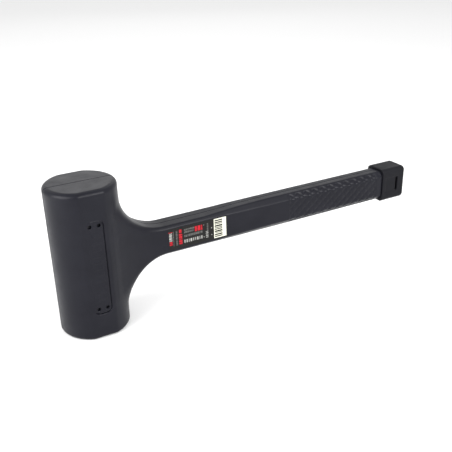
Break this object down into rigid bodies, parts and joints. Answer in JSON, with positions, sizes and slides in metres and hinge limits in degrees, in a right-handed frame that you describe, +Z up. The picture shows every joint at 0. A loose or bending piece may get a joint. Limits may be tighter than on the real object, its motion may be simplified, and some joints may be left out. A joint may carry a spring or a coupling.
{
  "type": "dead blow mallet",
  "caption": "One-piece moulded dead blow mallet: round head with flat cheeks and a shot-filled steel canister, octagonal handle with a grip and a push-on end cap.",
  "frame": {"origin": "centre of the lower strike face", "axes": "+Z up the head's strike axis to the upper face, +X along the handle to its end cap"},
  "size_m": [0.3717, 0.0572, 0.133],
  "materials": {
    "jacket": "satin black moulded elastomer",
    "cap": "satin black moulded plastic",
    "label_print": "printed film",
    "steel": "plain mild steel",
    "core_rod": "glass-fibre rod",
    "shot": "round steel shot"
  },
  "bodies": {
    "mallet": {"body_moulding": "jacket", "end_cap": "cap", "label": "label_print", "canister_tube": "steel", "canister_lid_lower": "steel", "canister_lid_upper": "steel", "core_socket": "steel", "handle_core": "core_rod"},
    "shot_charge": {"shot_layer_01": "shot", "shot_layer_02": "shot", "shot_layer_03": "shot", "shot_layer_04": "shot", "shot_layer_05": "shot", "shot_layer_06": "shot", "shot_layer_07": "shot", "shot_layer_08": "shot", "shot_layer_09": "shot", "shot_layer_10": "shot", "shot_layer_11": "shot", "shot_layer_12": "shot", "shot_layer_13": "shot"}
  },
  "joints": [
    {"name": "shot_slide", "type": "slide", "parent": "mallet", "child": "shot_charge", "axis": [0, 0, 1], "range_m": [0, 0.013]}
  ]
}
